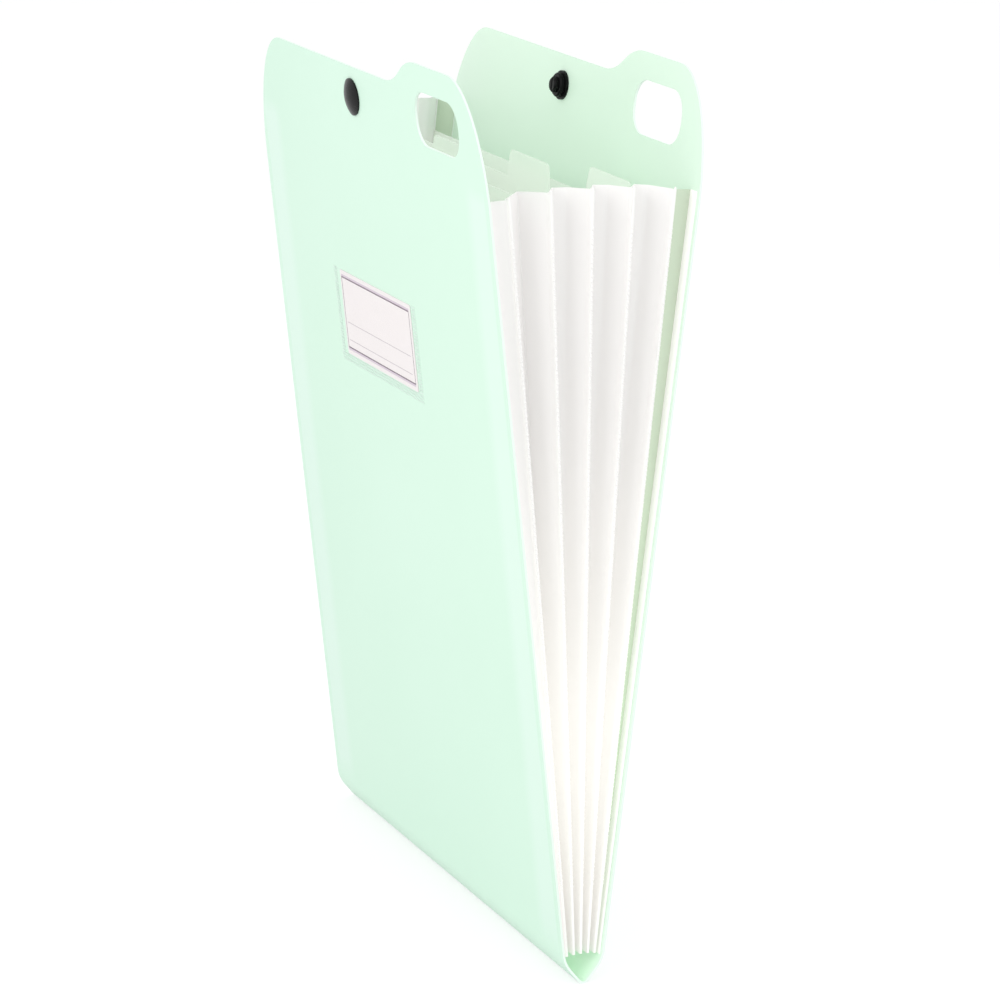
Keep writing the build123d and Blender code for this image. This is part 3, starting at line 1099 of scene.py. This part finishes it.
def make_pocket():
    sides = LABEL_X - POCKET_WIDTH / 2, LABEL_X + POCKET_WIDTH / 2, POCKET_TOP - POCKET_HEIGHT
    for piece in (pocket_film(*sides), pocket_squares(*sides)):
        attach(piece, "front")
        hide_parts("label_pocket")


make_pocket()


# Floor, light and camera

def ray_mask(tree):
    """1 for rays that show the background: from the camera, in reflections and through clear film."""
    rays = add_node(tree, "ShaderNodeLightPath").outputs
    seen = calc(tree, "MAXIMUM", rays["Is Camera Ray"], rays["Is Glossy Ray"])
    return calc(tree, "MAXIMUM", seen, rays["Is Transmission Ray"])


def make_floor():
    material, tree, shader = finish(
        "studio_floor", Roughness=0.9, Specular_IOR_Level=0.1, Emission_Color=(1, 1, 1, 1)
    )
    seen = ray_mask(tree)
    tree.links.new(calc(tree, "MULTIPLY", seen, FLOOR_GLOW), shader.inputs["Emission Strength"])
    tone = mixed(tree, seen, (0.8, 0.8, 0.8, 1), (0.45, 0.45, 0.45, 1))
    tree.links.new(tone, shader.inputs["Base Color"])
    corners = ((-1, -1), (1, -1), (1, 1), (-1, 1))
    points = [(x * FLOOR_REACH, y * FLOOR_REACH, 0) for x, y in corners]
    new_object("studio_floor", points, [(0, 1, 2, 3)], material)


def make_world():
    world = bpy.data.worlds.new("studio")
    bpy.context.scene.world = world
    world.use_nodes = True
    tree = world.node_tree
    tree.nodes.clear()
    soft = add_node(tree, "ShaderNodeBackground", {"Color": WHITE, "Strength": ROOM_LIGHT})
    white = add_node(tree, "ShaderNodeBackground", {"Color": WHITE, "Strength": 1.0})
    shown = {0: ray_mask(tree), 1: soft.outputs[0], 2: white.outputs[0]}
    room = add_node(tree, "ShaderNodeMixShader", shown)
    add_node(tree, "ShaderNodeOutputWorld", {"Surface": room.outputs[0]})


def make_lamp(name, place, energy):
    """Wide soft lamp turned towards the middle of the file."""
    lamp = bpy.data.lights.new(name, "AREA")
    lamp.shape = "SQUARE"
    lamp.size = LAMP_SIZE
    lamp.energy = energy
    placed = linked(name, lamp)
    placed.location = place
    placed.rotation_euler = (Vector(LAMP_TARGET) - Vector(place)).to_track_quat("-Z", "Y").to_euler()


def make_camera():
    lens = bpy.data.cameras.new("camera")
    lens.sensor_width = SENSOR_WIDTH
    lens.lens = FOCAL_LENGTH
    lens.clip_end = 100.0
    placed = linked("camera", lens)
    right, down = Vector(CAMERA_RIGHT), Vector(CAMERA_DOWN)
    ahead = right.cross(down).normalized()
    turn = Matrix((right, -down, -ahead)).transposed()
    placed.matrix_world = Matrix.Translation(CAMERA_PLACE) @ turn.to_4x4()
    bpy.context.scene.camera = placed


make_floor()
make_world()
for name, (place, energy) in LAMPS.items():
    make_lamp(name, place, energy)
make_camera()
bpy.context.scene.view_settings.view_transform = "Standard"
